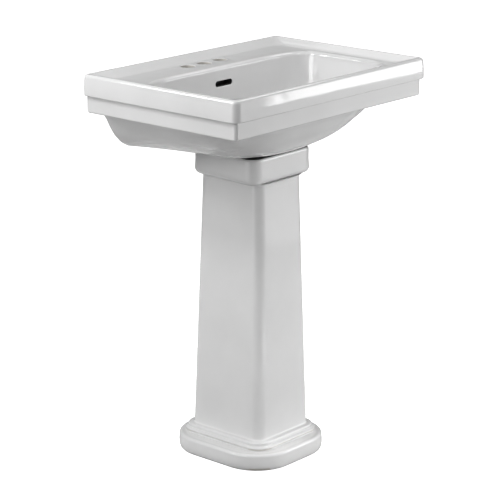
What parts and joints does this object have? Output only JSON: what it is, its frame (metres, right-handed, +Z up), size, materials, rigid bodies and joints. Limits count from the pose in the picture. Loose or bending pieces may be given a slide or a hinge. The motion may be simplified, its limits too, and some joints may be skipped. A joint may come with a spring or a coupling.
{
  "type": "pedestal sink",
  "caption": "Rectangular white china basin with a stepped rim on a tapered square pedestal, with push-button waste, P-trap and fixings.",
  "frame": {"origin": "on the floor, below the middle of the basin", "axes": "+Z up, -Y towards the person at the sink, +Y to the wall, +X to the right of someone facing the sink"},
  "size_m": [0.612, 0.419, 0.85],
  "materials": {
    "china": "gloss white vitreous glaze",
    "chrome": "polished chrome plate",
    "brass": "machined brass",
    "steel": "zinc-plated steel",
    "spring_steel": "drawn stainless wire",
    "rubber": "black moulded rubber",
    "nylon": "natural nylon"
  },
  "bodies": {
    "sink": {"basin": "china", "pedestal": "china", "pad_front_left": "rubber", "pad_front_right": "rubber", "pad_back_left": "rubber", "pad_back_right": "rubber", "drain_body": "chrome", "flange_seal": "rubber", "basin_gasket": "rubber", "friction_washer": "nylon", "drain_locknut": "brass", "stopper_guide": "brass", "stopper_spring": "spring_steel", "tailpiece": "chrome", "tailpiece_nut": "chrome", "tailpiece_seal": "rubber", "trap_bend": "chrome", "trap_inlet_nut": "chrome", "trap_inlet_washer": "nylon", "trap_outlet_nut": "chrome", "trap_outlet_washer": "nylon", "trap_arm": "chrome", "cleanout_plug": "chrome", "cleanout_seal": "rubber", "wall_stud_left": "steel", "wall_washer_left": "steel", "wall_nut_left": "steel", "floor_screw_left": "steel", "floor_washer_left": "nylon", "wall_stud_right": "steel", "wall_washer_right": "steel", "wall_nut_right": "steel", "floor_screw_right": "steel", "floor_washer_right": "nylon"},
    "stopper": {"stopper_cap": "chrome", "stopper_seal": "rubber", "stopper_stem": "brass"}
  },
  "joints": [
    {"name": "stopper_slide", "type": "slide", "parent": "sink", "child": "stopper", "axis": [0, 0, 1], "range_m": [-0.008, 0], "stiffness_N_per_m": 300, "springref_m": 0.012, "deforming": ["stopper_spring"]}
  ]
}
